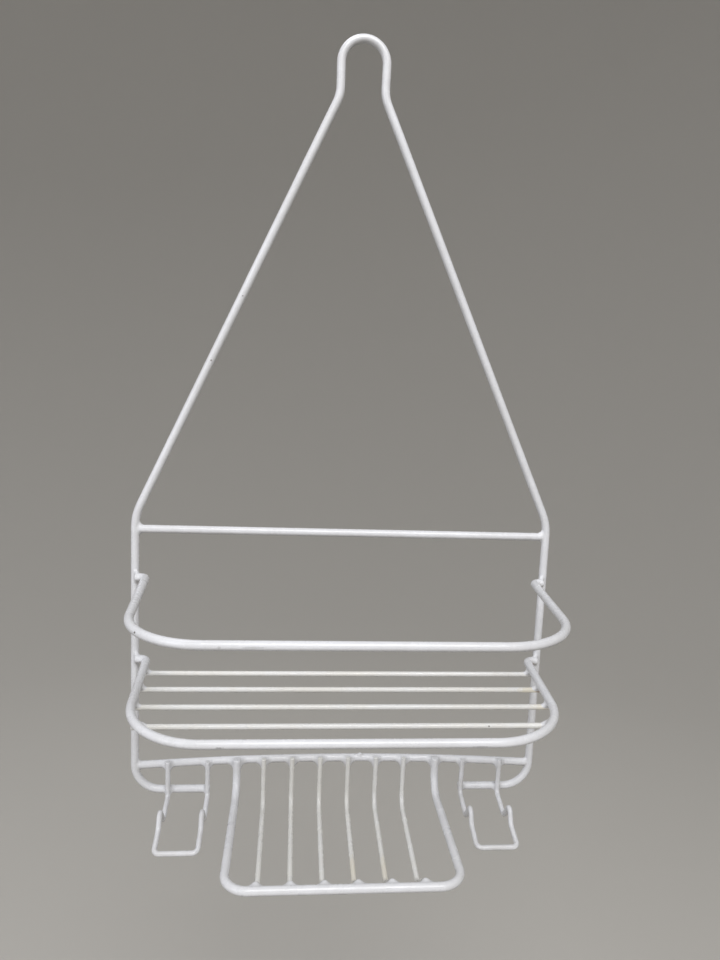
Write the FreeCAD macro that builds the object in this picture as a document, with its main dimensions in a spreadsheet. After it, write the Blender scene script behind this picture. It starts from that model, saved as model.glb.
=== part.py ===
import FreeCAD, Part
import math
import os
import Sketcher

# Shower caddy: white coated steel wires, welded where they cross or meet. Millimetres, +Z up.
# The origin is the point where the hanging loop rests on the shower arm. The frame stands in
# the XZ plane, the wall is on the +Y side and the basket, dish and hooks reach out to -Y.

SIZES = {
    # wires
    "thick_wire": 5.2,
    "thin_wire": 3.3,
    "thick_end_round": 0.8,
    "thin_end_round": 0.6,
    "butt_gap": 0.15,
    # hanger frame: loop, neck, arms, shoulders, sides and the returns under the lower crossbar
    "crossbar_drop": 460.4,
    "loop_radius": 13.6,
    "neck_half": 13.4,
    "neck_drop": 29.0,
    "neck_bend": 20.0,
    "shoulder_inset": 1.9,
    "shoulder_rise": 173.0,
    "shoulder_bend": 35.0,
    "foot_half": 136.8,
    "foot_bend": 17.5,
    "return_drop": 17.9,
    "return_length": 50.3,
    # crossbars
    "washcloth_rise": 164.2,
    "crossbar_bow": 4.4,
    "crossbar_straight": 12.0,
    # guard rail of the basket
    "upper_rise": 133.4,
    "upper_droop": 0.0,
    "upper_depth": 115.0,
    "upper_back_inset": 7.7,
    "upper_taper": 8.0,
    "upper_corner": 45.0,
    # shelf rail of the basket
    "lower_rise": 78.0,
    "lower_droop": 3.6,
    "lower_depth": 105.5,
    "lower_back_inset": 8.5,
    "lower_taper": 5.0,
    "lower_corner": 45.0,
    # tabs at the back ends of both rails
    "tab_bend": 4.0,
    "tab_short": 1.0,
    # shelf wires
    "shelf_first": 16.3,
    "shelf_pitch": 21.4,
    "shelf_past": 1.2,
    # soap dish
    "dish_to_hook": 19.6,
    "dish_depth": 103.0,
    "dish_drop": 17.0,
    "dish_rise": 2.5,
    "dish_leg_bend": 14.0,
    "dish_corner": 14.0,
    "thick_leg_top": 3.0,
    "thin_leg_top": 2.4,
    "dish_wire_margin": 20.0,
    "dish_wire_shift": -1.9,
    "floor_drop": 28.0,
    "floor_bend": 10.0,
    "riser_angle": 39.8,
    "riser_length": 32.1,
    "riser_bend": 7.0,
    "riser_offset": 3.0,
    # razor hooks
    "hook_inset": 36.0,
    "hook_half": 13.2,
    "hook_leg_drop": 20.5,
    "hook_leg_bend": 4.0,
    "notch_reach": 23.5,
    "notch_drop": 25.5,
    "notch_bend": 4.0,
    "hump_reach": 34.0,
    "hump_drop": 11.3,
    "hump_bend": 2.6,
    "kink_reach": 39.5,
    "kink_drop": 21.5,
    "kink_bend": 5.0,
    "hook_run": 16.6,
    "hook_slope": 15.7,
    "hook_corner": 3.5,
}

SHELF_WIRES = 4
DISH_WIRES = 6
LEFT, RIGHT = -1, 1
MIRROR_PLANE = "YZ_Plane"

doc = FreeCAD.newDocument("shower_caddy")
sheet = doc.addObject("Spreadsheet::Sheet", "sizes")
for row, (alias, size) in enumerate(SIZES.items(), start=1):
    sheet.set(f"A{row}", alias)
    sheet.set(f"B{row}", str(size))
    sheet.setAlias(f"B{row}", alias)
doc.recompute()


# --- expressions over the size sheet ---------------------------------------------------------


def cell(alias):
    """The expression that reads one size."""
    return f"<<sizes>>.{alias}"


def number(expression):
    """The present value of an expression over the sizes."""
    return float(sheet.evalExpression(expression))


THICK_R = f"{cell('thick_wire')} / 2"
THIN_R = f"{cell('thin_wire')} / 2"
THICK_ON_THICK = cell("thick_wire")
THIN_ON_THICK = f"({THICK_R} + {THIN_R})"
CROSSBAR_Z = f"(-{cell('crossbar_drop')})"
SHOULDER_HALF = f"({cell('foot_half')} - {cell('shoulder_inset')})"
RETURN_END_HALF = f"({cell('foot_half')} - {cell('return_length')})"
HOOK_CENTRE = f"({cell('foot_half')} - {cell('hook_inset')})"
DISH_HALF = f"({HOOK_CENTRE} - {cell('hook_half')} - {cell('dish_to_hook')})"


def above_crossbar(rise):
    """Height of something that is placed by its rise over the ends of the lower crossbar."""
    return f"({CROSSBAR_Z} + {rise})"


def side_half(rise):
    """Half the width between the side wires' centres, which lean slightly inward upwards."""
    span = f"({cell('shoulder_rise')} + {cell('return_drop')})"
    lean = f"{cell('shoulder_inset')} / {span}"
    return f"({cell('foot_half')} - {lean} * ({rise} + {cell('return_drop')}))"


def bar_half(rise):
    """Half the length of a crossbar that butts against the inner faces of the side wires."""
    return f"({side_half(rise)} - {THICK_R} - {cell('butt_gap')})"


BOW_HALF = bar_half("0")
BOW = cell("crossbar_bow")
BOW_RUN = cell("crossbar_straight")
BOW_RADIUS = f"(({BOW_HALF}^2 + {BOW}^2 - {BOW_RUN}^2) / (2 * {BOW}))"
BOW_TURN = f"((atan({BOW_HALF} / ({BOW_RADIUS} - {BOW})) - atan({BOW_RUN} / {BOW_RADIUS})) / 1 deg)"
BOW_CORNER = f"({BOW} + {BOW_RADIUS} * (1 / cos({BOW_TURN} * 1 deg) - 1))"


def bar_height(across):
    """Rise of the lower crossbar's centre line, on its arc, at a distance across from the middle."""
    return f"(sqrt({BOW_RADIUS}^2 - ({across})^2) - {BOW_RADIUS} + {BOW})"


# --- sketches, pipes and rods ----------------------------------------------------------------


def new_body(label):
    body = doc.addObject("PartDesign::Body", label)
    body.Label = label
    return body


def origin_plane(body, role):
    return next(plane for plane in body.Origin.OriginFeatures if plane.Role == role)


def new_sketch(body, name, role, offset=("0", "0", "0"), tilt=None):
    """A sketch on an origin plane, moved by offset in the plane's own axes and tilted about its X."""
    sketch = body.newObject("Sketcher::SketchObject", name)
    sketch.AttachmentSupport = [(origin_plane(body, role), "")]
    sketch.MapMode = "FlatFace"
    angle = number(tilt) if tilt else 0.0
    turn = FreeCAD.Rotation(FreeCAD.Vector(1, 0, 0), angle)
    sketch.AttachmentOffset = FreeCAD.Placement(FreeCAD.Vector(), turn)
    for axis, expression in zip("xyz", offset):
        sketch.setExpression(f"AttachmentOffset.Base.{axis}", expression)
    if tilt:
        sketch.setExpression("AttachmentOffset.Rotation.Angle", tilt)
    return sketch


def bound(sketch, kind, *targets):
    """A dimension whose last argument is the expression that drives it."""
    *where, expression = targets
    index = sketch.addConstraint(Sketcher.Constraint(kind, *where, number(expression)))
    sketch.setExpression(f"Constraints[{index}]", expression)


def pin(sketch, geometry, vertex, x, y):
    """Places one vertex from the sketch's origin."""
    bound(sketch, "DistanceX", -1, 1, geometry, vertex, x)
    bound(sketch, "DistanceY", -1, 1, geometry, vertex, y)


def circle_sketch(body, name, role, offset, x, y, radius, tilt=None):
    sketch = new_sketch(body, name, role, offset, tilt)
    centre = FreeCAD.Vector(number(x), number(y), 0)
    ring = sketch.addGeometry(Part.Circle(centre, FreeCAD.Vector(0, 0, 1), number(radius)))
    pin(sketch, ring, 3, x, y)
    bound(sketch, "Radius", ring, radius)
    return sketch


def corner_arc(before, corner, after, radius):
    """The arc that rounds a corner, as start, middle and end points."""
    to_before = (before - corner).normalize()
    to_after = (after - corner).normalize()
    inward = (to_before + to_after).normalize()
    half = to_before.getAngle(to_after) / 2
    tangent = radius / math.tan(half)
    apex = radius / math.sin(half) - radius
    return corner + to_before * tangent, corner + inward * apex, corner + to_after * tangent


def loop_arc(centre, radius):
    """The upper half of a round loop, walked from its left side over the top to its right side."""
    side = FreeCAD.Vector(radius, 0, 0)
    return centre - side, centre + FreeCAD.Vector(0, radius, 0), centre + side


def path_sketch(body, name, role, offset, stops, tilt=None):
    """Straight runs joined by tangent arcs. The first and last stops are the ends, (x, y). Those
    between are bends, ("corner", x, y, radius), or one round loop, ("loop", x, y, radius)."""
    sketch = new_sketch(body, name, role, offset, tilt)
    bends = stops[1:-1]
    first_end, last_end = [FreeCAD.Vector(number(stop[0]), number(stop[1]), 0) for stop in (stops[0], stops[-1])]
    places = [FreeCAD.Vector(number(bend[1]), number(bend[2]), 0) for bend in bends]
    loops = [loop_arc(place, number(bend[3])) for bend, place in zip(bends, places)]
    enter = [loop[0] if bend[0] == "loop" else place for bend, place, loop in zip(bends, places, loops)]
    leave = [loop[2] if bend[0] == "loop" else place for bend, place, loop in zip(bends, places, loops)]
    arcs = []
    for index, bend in enumerate(bends):
        if bend[0] == "loop":
            arcs.append(loops[index])
            continue
        before = leave[index - 1] if index else first_end
        after = enter[index + 1] if index + 1 < len(bends) else last_end
        arcs.append(corner_arc(before, places[index], after, number(bend[3])))
    ends = [first_end, *(point for arc in arcs for point in (arc[0], arc[2])), last_end]
    runs = []
    curves = []
    for index in range(len(bends) + 1):
        runs.append(sketch.addGeometry(Part.LineSegment(ends[2 * index], ends[2 * index + 1])))
        if index < len(bends):
            curves.append(sketch.addGeometry(Part.Arc(*arcs[index])))
    for index, bend in enumerate(bends):
        curve = curves[index]
        arc = arcs[index]
        flat = (arc[1] - arc[0]).cross(arc[2] - arc[1])
        first, last = (1, 2) if flat.z > 0 else (2, 1)
        sketch.addConstraint(Sketcher.Constraint("Tangent", runs[index], 2, curve, first))
        sketch.addConstraint(Sketcher.Constraint("Tangent", curve, last, runs[index + 1], 1))
        bound(sketch, "Radius", curve, bend[3])
        if bend[0] == "loop":
            pin(sketch, curve, 3, bend[1], bend[2])
        else:
            corner = sketch.addGeometry(Part.Point(places[index]), True)
            pin(sketch, corner, 1, bend[1], bend[2])
            sketch.addConstraint(Sketcher.Constraint("PointOnObject", corner, 1, runs[index]))
            sketch.addConstraint(Sketcher.Constraint("PointOnObject", corner, 1, runs[index + 1]))
    pin(sketch, runs[0], 1, *stops[0])
    pin(sketch, runs[-1], 2, *stops[-1])
    return sketch


def pipe(body, name, profile, path):
    profile.recompute()
    path.recompute()
    swept = body.newObject("PartDesign::AdditivePipe", name)
    swept.Profile = profile
    swept.Spine = (path, [f"Edge{index + 1}" for index in range(len(path.Shape.Edges))])
    doc.recompute()
    return swept


def mirrored(body, features):
    """The same features again on the other side of the body's own YZ plane."""
    mirror = body.newObject("PartDesign::Mirrored", f"{body.Label}_mirror")
    mirror.Originals = features
    mirror.MirrorPlane = (origin_plane(body, MIRROR_PLANE), [""])
    body.Tip = mirror
    doc.recompute()


def round_ends(body, radius):
    """Rounds the rims of the wire's cut ends, where the coating has run over them."""
    doc.recompute()
    wire = body.Tip
    rims = []
    for face in wire.Shape.Faces:
        if isinstance(face.Surface, Part.Plane):
            rim = face.Edges[0]
            rims += [index for index, edge in enumerate(wire.Shape.Edges, start=1) if edge.isSame(rim)]
    fillet = body.newObject("PartDesign::Fillet", f"{body.Label}_ends")
    fillet.Base = (wire, [f"Edge{rim}" for rim in rims])
    fillet.setExpression("Radius", radius)
    doc.recompute()


def straight_rod(label, half_length, depth, height, wire, end_round):
    """A straight wire along X."""
    body = new_body(label)
    section = circle_sketch(body, f"{label}_section", "YZ_Plane", ("0", "0", "0"), "0", "0", f"{wire} / 2")
    rod = body.newObject("PartDesign::Pad", f"{label}_rod")
    rod.Profile = section
    rod.SideType = "Symmetric"
    rod.setExpression("Length", f"2 * {half_length}")
    round_ends(body, end_round)
    body.setExpression("Placement.Base.y", depth)
    body.setExpression("Placement.Base.z", height)


# --- the hanger frame and its crossbars ------------------------------------------------------


def hanger_frame():
    foot_z = above_crossbar(f"-{cell('return_drop')}")
    shoulder_z = above_crossbar(cell("shoulder_rise"))
    neck_z = f"-{cell('neck_drop')}"
    loop_z = f"{THICK_R} - {cell('loop_radius')}"

    def half(side):
        """The three corners of one side, from the foot up to the neck."""
        sign = "-" if side == LEFT else ""
        return [
            ("corner", f"{sign}{cell('foot_half')}", foot_z, cell("foot_bend")),
            ("corner", f"{sign}{SHOULDER_HALF}", shoulder_z, cell("shoulder_bend")),
            ("corner", f"{sign}{cell('neck_half')}", neck_z, cell("neck_bend")),
        ]

    stops = [
        (f"-{RETURN_END_HALF}", foot_z),
        *half(LEFT),
        ("loop", "0", loop_z, cell("loop_radius")),
        *reversed(half(RIGHT)),
        (RETURN_END_HALF, foot_z),
    ]
    body = new_body("hanger_frame")
    start = ("0", "0", f"-{RETURN_END_HALF}")
    section = circle_sketch(body, "frame_section", "YZ_Plane", start, "0", foot_z, THICK_R)
    path = path_sketch(body, "frame_path", "XZ_Plane", ("0", "0", "0"), stops)
    pipe(body, "frame_wire", section, path)
    round_ends(body, cell("thick_end_round"))


def washcloth_bar():
    rise = cell("washcloth_rise")
    height = above_crossbar(rise)
    straight_rod("washcloth_bar", bar_half(rise), "0", height, cell("thick_wire"), cell("thick_end_round"))


def lower_crossbar():
    """Higher in the middle than at its ends: one long arc between two short straight runs."""
    stops = [
        (f"-{BOW_HALF}", CROSSBAR_Z),
        ("corner", "0", above_crossbar(BOW_CORNER), BOW_RADIUS),
        (BOW_HALF, CROSSBAR_Z),
    ]
    body = new_body("lower_crossbar")
    start = ("0", CROSSBAR_Z, f"-{BOW_HALF}")
    section = circle_sketch(body, "crossbar_section", "YZ_Plane", start, "0", "0", THICK_R, f"-{BOW_TURN}")
    path = path_sketch(body, "crossbar_path", "XZ_Plane", ("0", "0", "0"), stops)
    pipe(body, "crossbar_wire", section, path)
    round_ends(body, cell("thick_end_round"))


# --- the basket: two rails and the shelf wires ----------------------------------------------


def tab_reach(end_round):
    """How far in front of the frame a rail's tab lies, so that its rounded end just touches."""
    across = f"({cell('tab_short')} + {end_round})"
    return f"({THICK_R} - {end_round} + sqrt(({THICK_R} + {end_round})^2 - {across}^2))"


TAB_Y = tab_reach(cell("thick_end_round"))


def rail_back_half(level):
    """Half the width between a rail's arms where they leave the tabs."""
    return f"({side_half(cell(f'{level}_rise'))} - {cell(f'{level}_back_inset')})"


def basket_rail(label, level):
    """A U whose back ends turn outward onto the front of the side wires. Its plane may droop to
    the front, so its sketch is tilted about the line of the two tabs and measured from there."""
    rise = cell(f"{level}_rise")
    reach = f"({cell(f'{level}_depth')} - {TAB_Y})"
    corner = cell(f"{level}_corner")
    tab_end = f"({side_half(rise)} - {cell('tab_short')})"
    back_half = rail_back_half(level)
    front_half = f"({back_half} - {cell(f'{level}_taper')})"

    def half(side):
        sign = "-" if side == LEFT else ""
        return [
            (f"{sign}{tab_end}", "0"),
            ("corner", f"{sign}{back_half}", "0", cell("tab_bend")),
            ("corner", f"{sign}{front_half}", f"-{reach}", corner),
        ]

    body = new_body(label)
    height = above_crossbar(rise)
    start = ("0", "0", f"-{tab_end}")
    section = circle_sketch(body, f"{label}_section", "YZ_Plane", start, f"-{TAB_Y}", height, THICK_R)
    stops = [*half(LEFT), *reversed(half(RIGHT))]
    tilt = f"(atan({cell(f'{level}_droop')} / {reach}) / 1 deg)"
    path = path_sketch(body, f"{label}_path", "XY_Plane", ("0", f"-{TAB_Y}", height), stops, tilt)
    pipe(body, f"{label}_wire", section, path)
    round_ends(body, cell("thick_end_round"))


def rail_half(depth):
    """Half the width between the lower rail's centre lines at a depth in front of the frame."""
    radius = cell("lower_corner")
    arm = f"({cell('lower_depth')} - {TAB_Y})"
    back_half = rail_back_half("lower")
    lean = f"({cell('lower_taper')} / {arm})"
    straight = f"({back_half} - {lean} * ({depth} - {TAB_Y}))"
    centre_depth = f"({cell('lower_depth')} - {radius})"
    front_half = f"({back_half} - {cell('lower_taper')})"
    centre_across = f"({front_half} + {lean} * {radius} - {radius} * sqrt(1 + {lean}^2))"
    arc_start = f"({centre_depth} + {radius} * {lean} / sqrt(1 + {lean}^2))"
    within = f"max({radius}^2 - ({depth} - {centre_depth})^2; 0)"
    curved = f"({centre_across} + sqrt({within}))"
    return f"({depth} < {arc_start} ? {straight} : {curved})"


def shelf_wires():
    """Thin wires welded under the lower rail, from arm to arm, each lower than the one behind."""
    fall = f"({cell('lower_droop')} / ({cell('lower_depth')} - {TAB_Y}))"
    for count in range(SHELF_WIRES):
        depth = f"({cell('shelf_first')} + {count} * {cell('shelf_pitch')})"
        rise = f"{cell('lower_rise')} - {fall} * ({depth} - {TAB_Y}) - {THIN_ON_THICK}"
        height = above_crossbar(rise)
        reach = f"({rail_half(depth)} + {cell('shelf_past')})"
        label = f"shelf_wire_{count + 1}"
        straight_rod(label, reach, f"-{depth}", height, cell("thin_wire"), cell("thin_end_round"))


# --- the soap dish ---------------------------------------------------------------------------


def bent_u(label, half, run, slope, corner, side_stops, leg_top, wire, end_round):
    """A U of wire: two equal legs bent in planes across X, and a front that slopes with the last
    stretch of each leg. The front is a sketch in that sloping plane, from the middle of the
    crosspiece round one corner to halfway back along the run, where the leg takes over."""
    radius = f"({wire} / 2)"
    bend_y, bend_z = side_stops[-1][1:3]
    body = new_body(label)

    front_y = f"({bend_y} - {run} * cos({slope} * 1 deg))"
    front_z = f"({bend_z} - {run} * sin({slope} * 1 deg))"
    middle = circle_sketch(body, f"{label}_middle", "YZ_Plane", ("0", "0", "0"), front_y, front_z, radius)
    front_stops = [
        ("0", f"-{run}"),
        ("corner", half, f"-{run}", corner),
        (half, f"-{run} / 2"),
    ]
    plane_at = ("0", bend_y, bend_z)
    front = path_sketch(body, f"{label}_front", "XY_Plane", plane_at, front_stops, tilt=slope)
    front_pipe = pipe(body, f"{label}_crosspiece", middle, front)

    join = (f"({bend_y} - {run} / 2 * cos({slope} * 1 deg))", f"({bend_z} - {run} / 2 * sin({slope} * 1 deg))")
    top_y = side_stops[0][0]
    tip = circle_sketch(body, f"{label}_tip", "XY_Plane", ("0", "0", leg_top), half, top_y, radius)
    leg = path_sketch(body, f"{label}_leg", "YZ_Plane", ("0", "0", half), [*side_stops, join])
    leg_pipe = pipe(body, f"{label}_leg_wire", tip, leg)

    mirrored(body, [front_pipe, leg_pipe])
    round_ends(body, end_round)
    return body


RIM_RUN = f"sqrt(({cell('dish_depth')} - {THICK_ON_THICK})^2 + {cell('dish_rise')}^2)"
RIM_SLOPE = f"-atan({cell('dish_rise')} / ({cell('dish_depth')} - {THICK_ON_THICK})) / 1 deg"


def soap_dish_rim():
    """Legs welded over the front of the lower crossbar, then bent forward as an open rim."""
    top = above_crossbar(f"{bar_height(DISH_HALF)} + {cell('thick_leg_top')}")
    side_stops = [
        (f"-{THICK_ON_THICK}", top),
        ("corner", f"-{THICK_ON_THICK}", above_crossbar(f"-{cell('dish_drop')}"), cell("dish_leg_bend")),
    ]
    bent_u(
        "soap_dish_rim",
        DISH_HALF,
        f"({RIM_RUN})",
        f"({RIM_SLOPE})",
        cell("dish_corner"),
        side_stops,
        top,
        cell("thick_wire"),
        cell("thick_end_round"),
    )


def dish_wires():
    """Each wire drops from the crossbar, runs forward as the dish floor and rises to end against
    the back of the rim, along a line that passes riser_offset above the rim's centre."""
    angle = f"({cell('riser_angle')} * 1 deg)"
    rim_z = above_crossbar(f"{cell('dish_rise')} - {cell('dish_drop')}")
    nearest_y = f"(-{cell('dish_depth')} + {cell('riser_offset')} * sin({angle}))"
    nearest_z = f"({rim_z} + {cell('riser_offset')} * cos({angle}))"
    foot_y = f"({nearest_y} + {cell('riser_length')} * cos({angle}))"
    foot_z = f"({nearest_z} - {cell('riser_length')} * sin({angle}))"
    end_round = cell("thin_end_round")
    clear = f"({THICK_R} + {end_round} + {cell('butt_gap')})"
    beside = f"({cell('riser_offset')} - {THIN_R} + {end_round})"
    short = f"(sqrt({clear}^2 - {beside}^2) - {end_round})"
    end_y = f"({nearest_y} + {short} * cos({angle}))"
    end_z = f"({nearest_z} - {short} * sin({angle}))"
    leg_y = f"-{THIN_ON_THICK}"
    pitch = f"(2 * ({DISH_HALF} - {cell('dish_wire_margin')}) / {DISH_WIRES - 1})"
    for count in range(DISH_WIRES):
        label = f"soap_dish_wire_{count + 1}"
        step = count - (DISH_WIRES - 1) / 2
        across = f"({step} * {pitch} + {cell('dish_wire_shift')})"
        top = above_crossbar(f"{bar_height(across)} + {cell('thin_leg_top')}")
        stops = [
            (leg_y, top),
            ("corner", leg_y, above_crossbar(f"-{cell('floor_drop')}"), cell("floor_bend")),
            ("corner", foot_y, foot_z, cell("riser_bend")),
            (end_y, end_z),
        ]
        body = new_body(label)
        section = circle_sketch(body, f"{label}_section", "XY_Plane", ("0", "0", top), "0", leg_y, THIN_R)
        path = path_sketch(body, f"{label}_path", "YZ_Plane", ("0", "0", "0"), stops)
        pipe(body, f"{label}_wire", section, path)
        round_ends(body, cell("thin_end_round"))
        body.setExpression("Placement.Base.x", across)


# --- the razor hooks -------------------------------------------------------------------------


def razor_hook(label, side):
    """Legs welded to the crossbar and to the frame's return, then a notch, a hump and a front
    crosspiece: a razor's handle hangs between the legs with its head in the notches."""
    leg_y = f"-{THIN_ON_THICK}"
    across = f"({side} * {HOOK_CENTRE})"
    top = above_crossbar(f"{bar_height(HOOK_CENTRE)} + {cell('thin_leg_top')}")

    def bend(name):
        return (
            "corner",
            f"-{cell(f'{name}_reach')}",
            above_crossbar(f"-{cell(f'{name}_drop')}"),
            cell(f"{name}_bend"),
        )

    side_stops = [
        (leg_y, top),
        ("corner", leg_y, above_crossbar(f"-{cell('hook_leg_drop')}"), cell("hook_leg_bend")),
        bend("notch"),
        bend("hump"),
        bend("kink"),
    ]
    body = bent_u(
        label,
        cell("hook_half"),
        cell("hook_run"),
        cell("hook_slope"),
        cell("hook_corner"),
        side_stops,
        top,
        cell("thin_wire"),
        cell("thin_end_round"),
    )
    body.setExpression("Placement.Base.x", across)


# --- build, check, write ---------------------------------------------------------------------

hanger_frame()
washcloth_bar()
lower_crossbar()
basket_rail("basket_upper_rail", "upper")
basket_rail("basket_lower_rail", "lower")
shelf_wires()
soap_dish_rim()
dish_wires()
razor_hook("razor_hook_left", LEFT)
razor_hook("razor_hook_right", RIGHT)
doc.recompute()

for item in doc.Objects:
    if {"Invalid", "Error"} & set(item.State):
        raise RuntimeError(f"{item.Label} did not recompute: {item.State}")

os.makedirs("parts", exist_ok=True)
for body in doc.findObjects("PartDesign::Body"):
    shape = body.Shape
    if shape.isNull() or not shape.isValid() or len(shape.Solids) != 1:
        raise RuntimeError(f"{body.Label} is not one valid solid")
    shape.exportStep(f"parts/{body.Label}.step")
    box = shape.BoundBox
    print(f"{body.Label}: {box.XLength:.1f} x {box.YLength:.1f} x {box.ZLength:.1f} mm, {shape.Volume:.0f} mm3")
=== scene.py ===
import math
import bpy
from mathutils import Matrix, Vector


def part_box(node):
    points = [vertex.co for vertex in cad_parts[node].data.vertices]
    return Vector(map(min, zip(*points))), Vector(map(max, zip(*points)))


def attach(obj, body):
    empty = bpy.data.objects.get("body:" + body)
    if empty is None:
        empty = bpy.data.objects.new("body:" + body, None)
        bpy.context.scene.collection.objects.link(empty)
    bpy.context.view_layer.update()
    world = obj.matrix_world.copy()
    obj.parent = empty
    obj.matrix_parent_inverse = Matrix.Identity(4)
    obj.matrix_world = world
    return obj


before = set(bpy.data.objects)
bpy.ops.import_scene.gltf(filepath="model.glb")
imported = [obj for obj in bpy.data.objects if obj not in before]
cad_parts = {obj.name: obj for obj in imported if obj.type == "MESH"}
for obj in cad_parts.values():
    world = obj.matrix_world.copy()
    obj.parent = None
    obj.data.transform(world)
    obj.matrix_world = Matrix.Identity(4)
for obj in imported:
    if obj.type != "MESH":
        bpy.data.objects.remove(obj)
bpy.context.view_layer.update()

# Shower caddy of coated steel wire. Metres, +Z up, the wall on +Y. The frame holds the wires. This
# script gives them their coating, and adds the coating that has run into every weld.

MM = 0.001
THICK = 5.2 * MM  # diameter of the frame's, rails' and rim's wire over its coating
THIN = 3.3 * MM  # diameter of the shelf, dish and hook wire over its coating
LEFT, RIGHT = -1, 1

FRAME_WIRES = ["hanger_frame", "washcloth_bar", "lower_crossbar"]
RAILS = ["basket_upper_rail", "basket_lower_rail"]
SHELF_WIRES = [f"shelf_wire_{count}" for count in range(1, 5)]
DISH_WIRES = [f"soap_dish_wire_{count}" for count in range(1, 7)]
HOOKS = {LEFT: "razor_hook_left", RIGHT: "razor_hook_right"}
SIDE_NAMES = {LEFT: "left", RIGHT: "right"}


# --- nodes and groups for the coating --------------------------------------------------------


def add_node(tree, kind, inputs=None, **settings):
    """A shader node with its settings, and its inputs set to numbers or joined to other sockets."""
    node = tree.nodes.new(kind)
    for name, value in settings.items():
        setattr(node, name, value)
    for key, value in (inputs or {}).items():
        if isinstance(value, bpy.types.NodeSocket):
            tree.links.new(value, node.inputs[key])
        else:
            node.inputs[key].default_value = value
    return node


def new_group(name, inputs, outputs):
    """A shader node group with named sockets: {name: (socket type, default)} and {name: type}."""
    tree = bpy.data.node_groups.new(name, "ShaderNodeTree")
    for label, (kind, default) in inputs.items():
        socket = tree.interface.new_socket(label, in_out="INPUT", socket_type=f"NodeSocket{kind}")
        if default is not None:
            socket.default_value = default
    for label, kind in outputs.items():
        tree.interface.new_socket(label, in_out="OUTPUT", socket_type=f"NodeSocket{kind}")
    entry = tree.nodes.new("NodeGroupInput")
    leave = tree.nodes.new("NodeGroupOutput")
    return tree, entry.outputs, leave.inputs


def ramp(tree, value, low, high):
    """0 below low, 1 above high, smooth between."""
    node = add_node(tree, "ShaderNodeMapRange", {"Value": value, "From Min": low, "From Max": high})
    node.interpolation_type = "SMOOTHSTEP"
    return node.outputs["Result"]


def mix_colour(tree, share, first, second, blend="MIX"):
    node = add_node(tree, "ShaderNodeMix", {0: share}, data_type="RGBA", blend_type=blend)
    for index, colour in ((6, first), (7, second)):
        if isinstance(colour, bpy.types.NodeSocket):
            tree.links.new(colour, node.inputs[index])
        else:
            node.inputs[index].default_value = colour
    return node.outputs[2]


def maths(tree, operation, *values):
    node = add_node(tree, "ShaderNodeMath", dict(enumerate(values)), operation=operation)
    return node.outputs[0]


def noise(tree, place, scale, detail=2.0, roughness=0.5):
    """Smooth noise from about 0.2 to 0.8."""
    sockets = {"Vector": place, "Scale": scale, "Detail": detail, "Roughness": roughness}
    return add_node(tree, "ShaderNodeTexNoise", sockets).outputs["Fac"]


def make_tone_group():
    """Slow drift of the coating's colour, with grey painted shade where it faces down that also stands for
    grime settled there.
    """
    tree, given, result = new_group(
        "coating_tone",
        {
            "Place": ("Vector", None),
            "Clean": ("Color", (0.8, 0.8, 0.8, 1)),
            "Aged": ("Color", (0.7, 0.7, 0.6, 1)),
            "Film": ("Color", (0.4, 0.4, 0.4, 1)),
            "Ageing": ("Float", 0.5),
            "Patch Scale": ("Float", 18.0),
        },
        {"Color": "Color", "Aged And Shade Share": "Float"},
    )
    broad = noise(tree, given["Place"], given["Patch Scale"], detail=3.0)
    fine = noise(tree, given["Place"], maths(tree, "MULTIPLY", given["Patch Scale"], 9.0), detail=4.0)
    patches = maths(tree, "MULTIPLY_ADD", fine, 0.45, maths(tree, "MULTIPLY", broad, 0.75))
    facing = add_node(tree, "ShaderNodeNewGeometry").outputs["Normal"]
    down = add_node(tree, "ShaderNodeSeparateXYZ", {"Vector": facing}).outputs["Z"]
    # Painted shade: grey is mixed into the colour where the surface faces down, most straight underneath; it
    # also stands for settled grime.
    underside = ramp(tree, down, 0.1, -0.95)
    painted_shade = maths(tree, "MULTIPLY", underside, maths(tree, "MULTIPLY_ADD", patches, 0.5, 0.45))
    share = maths(tree, "MULTIPLY", ramp(tree, patches, 0.42, 0.8), given["Ageing"])
    colour = mix_colour(tree, share, given["Clean"], given["Aged"])
    tree.links.new(mix_colour(tree, painted_shade, colour, given["Film"]), result["Color"])
    tree.links.new(maths(tree, "MAXIMUM", share, painted_shade), result["Aged And Shade Share"])
    return tree


def make_speck_group():
    """Sparse small dark specks of grit and old chips in the coating."""
    tree, given, result = new_group(
        "coating_specks",
        {
            "Place": ("Vector", None),
            "Scale": ("Float", 160.0),
            "Size": ("Float", 0.12),
            "Rarity": ("Float", 0.9),
        },
        {"Mask": "Float"},
    )
    cells = add_node(tree, "ShaderNodeTexVoronoi", {"Vector": given["Place"], "Scale": given["Scale"]})
    chance = add_node(tree, "ShaderNodeSeparateColor", {"Color": cells.outputs["Color"]}).outputs["Red"]
    chosen = maths(tree, "GREATER_THAN", chance, given["Rarity"])
    small = ramp(tree, cells.outputs["Distance"], given["Size"], maths(tree, "MULTIPLY", given["Size"], 0.5))
    tree.links.new(maths(tree, "MULTIPLY", chosen, small), result["Mask"])
    return tree


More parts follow.
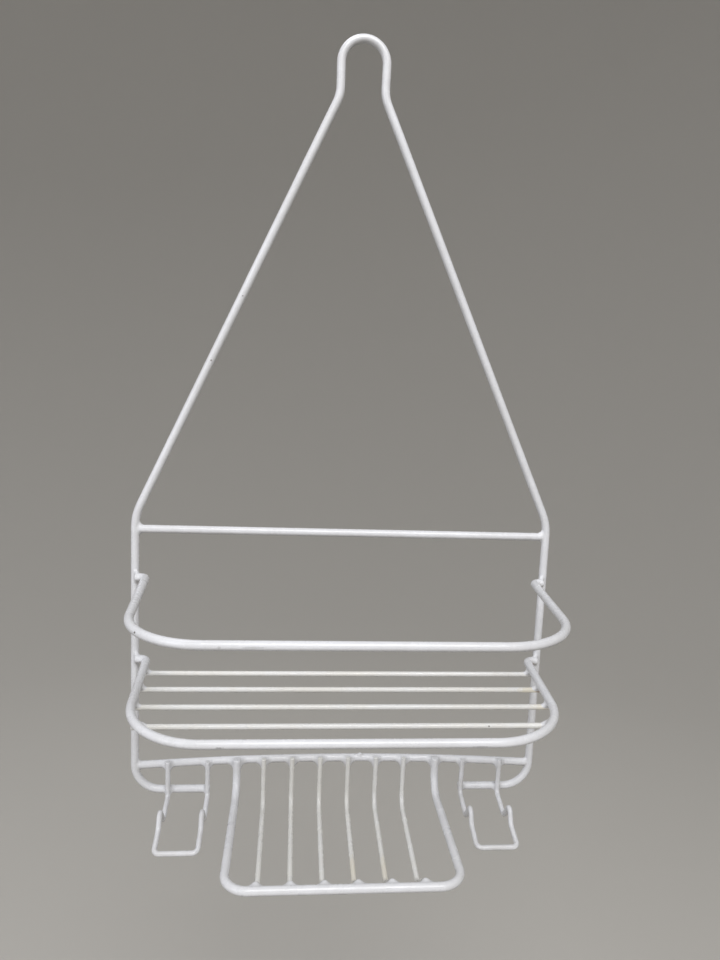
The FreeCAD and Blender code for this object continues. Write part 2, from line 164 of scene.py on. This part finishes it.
def make_mark_group():
    """One ragged mark, such as a scuff or a rust stain, about a point on the object."""
    tree, given, result = new_group(
        "coating_mark",
        {
            "Place": ("Vector", None),
            "Centre": ("Vector", (0, 0, 0)),
            "Reach": ("Vector", (0.004, 0.004, 0.004)),
            "Raggedness": ("Float", 0.6),
            "Grain": ("Float", 900.0),
        },
        {"Mask": "Float"},
    )
    def vector_maths(operation, *values):
        return add_node(tree, "ShaderNodeVectorMath", dict(enumerate(values)), operation=operation)

    away = vector_maths("SUBTRACT", given["Place"], given["Centre"]).outputs["Vector"]
    share = vector_maths("DIVIDE", away, given["Reach"]).outputs["Vector"]
    distance = vector_maths("LENGTH", share).outputs["Value"]
    ragged = noise(tree, given["Place"], given["Grain"], detail=3.0, roughness=0.65)
    ragged = maths(tree, "MULTIPLY", maths(tree, "SUBTRACT", ragged, 0.5), given["Raggedness"])
    edge = maths(tree, "MULTIPLY_ADD", ragged, 3.0, distance)
    tree.links.new(ramp(tree, edge, 1.0, 0.45), result["Mask"])
    return tree


def make_surface_group():
    """The dipped coating's long soft waves and its fine orange peel."""
    tree, given, result = new_group(
        "coating_surface",
        {
            "Place": ("Vector", None),
            "Wave Scale": ("Float", 130.0),
            "Peel Scale": ("Float", 1100.0),
            "Wave Height": ("Float", 0.1),
            "Peel Height": ("Float", 0.02),
        },
        {"Height": "Float", "Polish": "Float"},
    )
    waves = noise(tree, given["Place"], given["Wave Scale"], detail=2.0)
    peel = noise(tree, given["Place"], given["Peel Scale"], detail=1.0)
    height = maths(tree, "MULTIPLY", waves, given["Wave Height"])
    height = maths(tree, "MULTIPLY_ADD", peel, given["Peel Height"], height)
    smears = noise(tree, given["Place"], 60.0, detail=5.0, roughness=0.7)
    tree.links.new(height, result["Height"])
    tree.links.new(ramp(tree, smears, 0.35, 0.7), result["Polish"])
    return tree


TONE = make_tone_group()
SPECKS = make_speck_group()
MARK = make_mark_group()
SURFACE = make_surface_group()

# Colours of the coating, of what has happened to it, and of the painted shade on its undersides.
CLEAN_WHITE = (0.80, 0.81, 0.85, 1)
CREAM_WHITE = (0.79, 0.795, 0.795, 1)
GREYED = (0.62, 0.615, 0.62, 1)
# Painted shade: the grey that darkens the coating where it faces down.
PAINTED_SHADE_GREY = (0.34, 0.335, 0.33, 1)
YELLOWED = (0.70, 0.65, 0.53, 1)
GRIT = (0.10, 0.085, 0.07, 1)
SCUFF = (0.33, 0.33, 0.34, 1)
RUST = (0.30, 0.15, 0.06, 1)


def coating(name, clean, aged, ageing, marks=(), specks=0.975, shine=(0.2, 0.34)):
    """A white coating. Each mark is (colour, strength, centre in mm, reach in mm)."""
    material = bpy.data.materials.new(name)
    material.use_nodes = True
    tree = material.node_tree
    tree.nodes.clear()
    place = add_node(tree, "ShaderNodeTexCoord").outputs["Object"]

    def group(source, **values):
        inputs = {key.replace("_", " "): value for key, value in values.items()}
        return add_node(tree, "ShaderNodeGroup", {"Place": place, **inputs}, node_tree=source)

    # The tone brings painted shade: the colour turns grey where the coating faces down.
    tone = group(TONE, Clean=clean, Aged=aged, Film=PAINTED_SHADE_GREY, Ageing=ageing)
    colour = tone.outputs["Color"]
    speck = group(SPECKS, Rarity=specks).outputs["Mask"]
    colour = mix_colour(tree, maths(tree, "MULTIPLY", speck, 0.7), colour, GRIT)
    dull = maths(tree, "MULTIPLY", tone.outputs["Aged And Shade Share"], 0.5)
    for mark_colour, strength, centre, reach in marks:
        mask = group(
            MARK,
            Centre=[value * MM for value in centre],
            Reach=[value * MM for value in reach],
        ).outputs["Mask"]
        mask = maths(tree, "MULTIPLY", mask, strength)
        colour = mix_colour(tree, mask, colour, mark_colour)
        dull = maths(tree, "MAXIMUM", dull, mask)
    surface = group(SURFACE)
    rough = add_node(
        tree,
        "ShaderNodeMapRange",
        {"Value": surface.outputs["Polish"], "To Min": shine[0], "To Max": shine[1]},
    ).outputs["Result"]
    rough = maths(tree, "MULTIPLY_ADD", dull, 0.2, rough)
    bump = add_node(
        tree,
        "ShaderNodeBump",
        {"Height": surface.outputs["Height"], "Strength": 0.6, "Distance": 1 * MM},
    )
    shader = add_node(
        tree,
        "ShaderNodeBsdfPrincipled",
        {"Base Color": colour, "Roughness": rough, "Normal": bump.outputs["Normal"], "IOR": 1.5},
    )
    output = tree.nodes.new("ShaderNodeOutputMaterial")
    tree.links.new(shader.outputs["BSDF"], output.inputs["Surface"])
    return material


frame_coating = coating(
    "frame_coating",
    CLEAN_WHITE,
    GREYED,
    0.35,
    marks=[(RUST, 0.9, (85.9, 0, -478.3), (0.9, 1.6, 1.6))],
)
rail_coating = coating(
    "rail_coating",
    CLEAN_WHITE,
    GREYED,
    0.35,
    marks=[
        (GRIT, 0.95, (-114.1, -100.5, -326.2), (1.0, 1.0, 0.9)),
        (SCUFF, 0.35, (-69.4, -117.6, -327.2), (1.2, 2, 0.9)),
        (SCUFF, 0.35, (-51.5, -117.6, -327), (8, 2, 0.6)),
        (SCUFF, 0.75, (-69.8, -108, -386.6), (2.6, 2, 0.7)),
        (SCUFF, 0.6, (69.5, -108, -386.8), (6.5, 2, 0.6)),
        (RUST, 0.8, (131, -7.1, -383.4), (1.6, 2.5, 1.6)),
    ],
)
shelf_coating = coating(
    "shelf_coating",
    CREAM_WHITE,
    YELLOWED,
    0.3,
    marks=[
        (YELLOWED, 0.75, (119, -39.2, -388), (9, 4, 4)),
        (RUST, 0.7, (124.2, -39.2, -387.5), (1.8, 3, 2)),
        (YELLOWED, 0.6, (121, -60.7, -388.5), (9, 4, 4)),
    ],
)
dish_coating = coating(
    "dish_coating",
    CREAM_WHITE,
    YELLOWED,
    0.2,
    marks=[
        (YELLOWED, 0.55, (7.9, -68, -490.5), (4, 16, 6)),
        (YELLOWED, 0.55, (27.7, -68, -490.7), (4, 14, 6)),
    ],
)
hook_coating = coating("hook_coating", CLEAN_WHITE, GREYED, 0.8)
weld_coating = coating("weld_coating", CLEAN_WHITE, GREYED, 0.5)


def dress(node, material):
    """Gives a wire of the frame its coating."""
    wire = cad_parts[node]
    for place in wire.material_slots:
        place.material = material


for node in FRAME_WIRES:
    dress(node, frame_coating)
for node in RAILS:
    dress(node, rail_coating)
dress("soap_dish_rim", frame_coating)
for node in SHELF_WIRES:
    dress(node, shelf_coating)
for node in DISH_WIRES:
    dress(node, dish_coating)
for node in HOOKS.values():
    dress(node, hook_coating)


# --- the coating that has run into the welds ------------------------------------------------


def only(piece):
    """Makes one object the only selected and active one."""
    bpy.ops.object.select_all(action="DESELECT")
    piece.select_set(True)
    bpy.context.view_layer.objects.active = piece


def apply_modifier(piece, kind, **settings):
    modifier = piece.modifiers.new(kind.lower(), kind)
    for name, value in settings.items():
        setattr(modifier, name, value)
    bpy.ops.object.modifier_apply(modifier=modifier.name)


def wire_stretch(node, centre, reach):
    """A closed copy of the stretch of a wire that lies within reach of a point."""
    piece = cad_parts[node].copy()
    piece.data = piece.data.copy()
    piece.parent = None
    bpy.context.scene.collection.objects.link(piece)
    only(piece)
    bpy.ops.object.mode_set(mode="EDIT")
    bpy.ops.mesh.select_all(action="SELECT")
    bpy.ops.mesh.remove_doubles(threshold=0.005 * MM)
    for axis in range(3):
        for sign in (LEFT, RIGHT):
            outward = Vector((0, 0, 0))
            outward[axis] = sign
            bpy.ops.mesh.select_all(action="SELECT")
            bpy.ops.mesh.bisect(
                plane_co=centre + outward * reach[axis],
                plane_no=outward,
                use_fill=True,
                clear_outer=True,
            )
    bpy.ops.object.mode_set(mode="OBJECT")
    return piece


GRAIN = 0.4 * MM  # how fine the welds' skin is cut
SINK = 0.05 * MM  # how far a weld lies under the wires' skin, so that only its fillets show
SHRINK_STEPS = 3


def bead(centre, size):
    """A lump of coating: a sphere stretched to size (its half widths) about centre."""
    bpy.ops.object.select_all(action="DESELECT")
    bpy.ops.mesh.primitive_uv_sphere_add(segments=32, ring_count=16, radius=1)
    piece = bpy.context.active_object
    bpy.ops.object.mode_set(mode="EDIT")
    bpy.ops.transform.resize(value=size)
    bpy.ops.transform.translate(value=centre)
    bpy.ops.object.mode_set(mode="OBJECT")
    return piece


def run_in_weld(name, nodes, centre, reach, fill, beads=()):
    """Coating that fills the corner between wires: the stretches are swollen by fill until they
    merge, then shrunk back, which leaves a round fillet of that radius only in the corners."""
    centre = Vector(centre)
    stretches = [wire_stretch(node, centre, reach) for node in nodes]
    stretches += [bead(*lump) for lump in beads]
    only(stretches[0])
    for other in stretches[1:]:
        other.select_set(True)
    bpy.ops.object.join()
    weld = bpy.context.view_layer.objects.active
    weld.name = name
    weld.data.name = name
    only(weld)
    apply_modifier(weld, "REMESH", mode="VOXEL", voxel_size=GRAIN)
    apply_modifier(weld, "DISPLACE", strength=fill, mid_level=0)
    apply_modifier(weld, "REMESH", mode="VOXEL", voxel_size=GRAIN)
    for step in range(SHRINK_STEPS):
        apply_modifier(weld, "DISPLACE", strength=-fill / SHRINK_STEPS, mid_level=0)
        apply_modifier(weld, "REMESH", mode="VOXEL", voxel_size=GRAIN)
    apply_modifier(weld, "DISPLACE", strength=-SINK, mid_level=0)
    bpy.ops.object.shade_smooth()
    weld.data.materials.clear()
    weld.data.materials.append(weld_coating)
    for key in list(weld.keys()):
        del weld[key]
    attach(weld, "root")


low_bar, high_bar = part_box("lower_crossbar")
BAR_HALF = high_bar.x
BAR_CROWN = high_bar.z - THICK / 2
BAR_BOW = high_bar.z - low_bar.z - THICK


def bar_z(across):
    """Height of the bowed lower crossbar's centre line."""
    return BAR_CROWN - BAR_BOW * (across / BAR_HALF) ** 2


def wire_middle(node):
    low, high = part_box(node)
    return (low + high) / 2


def across_leg_places():
    """The wires that stand in front of the lower crossbar, as name, node and place across."""
    for count, node in enumerate(DISH_WIRES, start=1):
        yield f"dish_wire_{count}", node, wire_middle(node).x
    for side, node in HOOKS.items():
        low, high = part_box(node)
        for part, across in (("left_leg", low.x + THIN / 2), ("right_leg", high.x - THIN / 2)):
            yield f"{node}_{part}", node, across
    low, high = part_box("soap_dish_rim")
    yield "dish_rim_left_leg", "soap_dish_rim", low.x + THICK / 2
    yield "dish_rim_right_leg", "soap_dish_rim", high.x - THICK / 2


BAR_END_Z = low_bar.z + THICK / 2
RETURN_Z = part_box("hanger_frame")[0].z + THICK / 2
CROSS_REACH = (9 * MM, 9 * MM, 9 * MM)
TIP_REACH = (12 * MM, 9 * MM, 9 * MM)
SHELF_REACH = (11 * MM, 9 * MM, 8 * MM)
DRIP_REACH = (6 * MM, 9 * MM, 9 * MM)

# Radius of the coating's fillet in each kind of weld.
DISH_TOP_FILL = 3.9 * MM
HOOK_TOP_FILL = 2.8 * MM
HOOK_FOOT_FILL = 2.0 * MM
DISH_TIP_FILL = 5.0 * MM
WASHCLOTH_BAR_FILL = 2.4 * MM
CROSSBAR_FILLS = {LEFT: 2.0 * MM, RIGHT: 1.2 * MM}
RAIL_TAB_FILL = 2.2 * MM
SHELF_FILL = 2.2 * MM
DRIP_FILL = 2.0 * MM

# Half widths of the lumps of coating that some welds hold.
TIP_LUMP = (2.3 * MM, 2.0 * MM, 1.95 * MM)
SHELF_LUMP = (3.4 * MM, 2.3 * MM, 1.9 * MM)
DRIP_LUMP = (1.3 * MM, 1.4 * MM, 1.7 * MM)

for name, node, across in across_leg_places():
    fill = HOOK_TOP_FILL if node in HOOKS.values() else DISH_TOP_FILL
    centre = (across, -THICK / 2, bar_z(across))
    run_in_weld(f"{name}_top_weld", [node, "lower_crossbar"], centre, CROSS_REACH, fill)
    if node in HOOKS.values():
        centre = (across, -THICK / 2, RETURN_Z)
        run_in_weld(f"{name}_foot_weld", [node, "hanger_frame"], centre, CROSS_REACH, HOOK_FOOT_FILL)

RIM_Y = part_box("soap_dish_rim")[0].y + THICK / 2
RIM_Z = BAR_END_Z - 14.5 * MM
for count, node in enumerate(DISH_WIRES, start=1):
    centre = (wire_middle(node).x, RIM_Y + 2 * MM, RIM_Z + 1 * MM)
    corners = [corner.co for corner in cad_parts[node].data.vertices]
    front = min(corner.y for corner in corners)
    tip = [corner for corner in corners if corner.y < front + THIN]
    tip = sum(tip, Vector()) / len(tip)
    pair = [node, "soap_dish_rim"]
    run_in_weld(f"dish_wire_{count}_tip_weld", pair, centre, TIP_REACH, DISH_TIP_FILL, [(tip, TIP_LUMP)])

for side, side_name in SIDE_NAMES.items():
    bar_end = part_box("washcloth_bar")[1].x
    centre = (side * bar_end, 0, wire_middle("washcloth_bar").z)
    pair = ["washcloth_bar", "hanger_frame"]
    run_in_weld(f"washcloth_bar_{side_name}_weld", pair, centre, CROSS_REACH, WASHCLOTH_BAR_FILL)
    centre = (side * BAR_HALF, 0, BAR_END_Z)
    pair = ["lower_crossbar", "hanger_frame"]
    run_in_weld(f"crossbar_{side_name}_weld", pair, centre, CROSS_REACH, CROSSBAR_FILLS[side])
    for rail in RAILS:
        rail_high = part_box(rail)[1]
        centre = (side * (rail_high.x - 2 * MM), -THICK / 2, rail_high.z - THICK / 2)
        run_in_weld(f"{rail}_{side_name}_weld", [rail, "hanger_frame"], centre, CROSS_REACH, RAIL_TAB_FILL)
    for node in SHELF_WIRES:
        middle = wire_middle(node)
        wire_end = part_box(node)[1].x
        centre = (side * (wire_end - 1.2 * MM), middle.y, middle.z + THIN / 2)
        lumps = []
        if node == SHELF_WIRES[-1]:
            place = (side * (wire_end - 4.6 * MM), middle.y, middle.z + 1.4 * MM)
            lumps.append((place, SHELF_LUMP))
        pair = [node, "basket_lower_rail"]
        run_in_weld(f"{node}_{side_name}_weld", pair, centre, SHELF_REACH, SHELF_FILL, lumps)

# A drip where the wet coating gathered on top of the lower crossbar.
DRIP_X = 16.1 * MM
centre = (DRIP_X, 0, bar_z(DRIP_X))
drip_top = (DRIP_X, -0.6 * MM, bar_z(DRIP_X) + THICK / 2)
run_in_weld("crossbar_drip", ["lower_crossbar"], centre, DRIP_REACH, DRIP_FILL, [(drip_top, DRIP_LUMP)])

# --- floor, light and camera -----------------------------------------------------------------

FLOOR_Z = -0.80
PAPER_RADIUS = 3.0
PAPER_HEIGHT = 4.0
PAPER_SWEEP = 2.0  # radius of the curve from the floor up to the wall
PAPER_COLOUR = (0.57, 0.552, 0.52, 1)


def pick_faces(piece, chosen):
    """Selects the faces whose normals pass a test, from edit mode."""
    bpy.ops.mesh.select_all(action="DESELECT")
    bpy.ops.object.mode_set(mode="OBJECT")
    for face in piece.data.polygons:
        face.select = chosen(face.normal)
    bpy.ops.object.mode_set(mode="EDIT")


# A round floor of plain paper that curves up into a wall, open at the top.
bpy.ops.object.select_all(action="DESELECT")
bpy.ops.mesh.primitive_cylinder_add(vertices=160, radius=PAPER_RADIUS, depth=PAPER_HEIGHT)
floor = bpy.context.active_object
floor.name = "floor"
bpy.ops.object.mode_set(mode="EDIT")
bpy.ops.transform.translate(value=(0, 0, FLOOR_Z + PAPER_HEIGHT / 2))
pick_faces(floor, lambda normal: normal.z > 0.9)
bpy.ops.mesh.delete(type="FACE")
pick_faces(floor, lambda normal: normal.z < -0.9)
bpy.ops.mesh.select_mode(type="EDGE")
bpy.ops.mesh.bevel(offset=PAPER_SWEEP, segments=16, affect="EDGES")
bpy.ops.object.mode_set(mode="OBJECT")
bpy.ops.object.shade_smooth()
paper = bpy.data.materials.new("pale_paper")
paper.use_nodes = True
paper_shader = paper.node_tree.nodes["Principled BSDF"]
paper_shader.inputs["Base Color"].default_value = PAPER_COLOUR
paper_shader.inputs["Roughness"].default_value = 0.9
floor.data.materials.append(paper)

world = bpy.data.worlds.new("soft_room")
world.use_nodes = True
room_light = world.node_tree.nodes["Background"]
room_light.inputs["Color"].default_value = (0.93, 0.95, 1.0, 1)
room_light.inputs["Strength"].default_value = 0.2
bpy.context.scene.world = world


def softbox(name, place, aim, size, power, colour):
    """A soft rectangular light at a place, turned to shine on another."""
    light = bpy.data.lights.new(name, "AREA")
    light.shape = "RECTANGLE"
    light.size, light.size_y = size
    light.energy = power
    light.color = colour
    holder = bpy.data.objects.new(name, light)
    bpy.context.scene.collection.objects.link(holder)
    holder.location = place
    holder.rotation_euler = (Vector(aim) - Vector(place)).to_track_quat("-Z", "Y").to_euler()


MIDDLE = (0, 0, -0.3)
softbox("key", (0.15, -1.3, 1.15), MIDDLE, (1.1, 1.1), 29.5, (1.0, 0.99, 0.97))
softbox("fill", (-1.3, -1.2, 0.3), MIDDLE, (0.9, 0.9), 9, (0.92, 0.94, 1.0))
softbox("back", (-0.5, 0.6, 1.4), (0, 0, -0.25), (1.0, 0.6), 5, (1.0, 1.0, 1.0))

CAMERA_PLACE = (-0.0348, -0.4620, -0.1830)
CAMERA_LENS = 27.16
CAMERA_TURN = math.radians(-5.29)
CAMERA_TIP = math.radians(90 - 9.51)
CAMERA_ROLL = math.radians(2.44)

camera_data = bpy.data.cameras.new("camera")
camera_data.sensor_width = 36
camera_data.lens = CAMERA_LENS
camera = bpy.data.objects.new("camera", camera_data)
bpy.context.scene.collection.objects.link(camera)
turn = (
    Matrix.Rotation(CAMERA_TURN, 4, "Z")
    @ Matrix.Rotation(CAMERA_TIP, 4, "X")
    @ Matrix.Rotation(CAMERA_ROLL, 4, "Z")
)
camera.matrix_world = Matrix.Translation(CAMERA_PLACE) @ turn
bpy.context.scene.camera = camera
bpy.context.scene.view_settings.view_transform = "Standard"
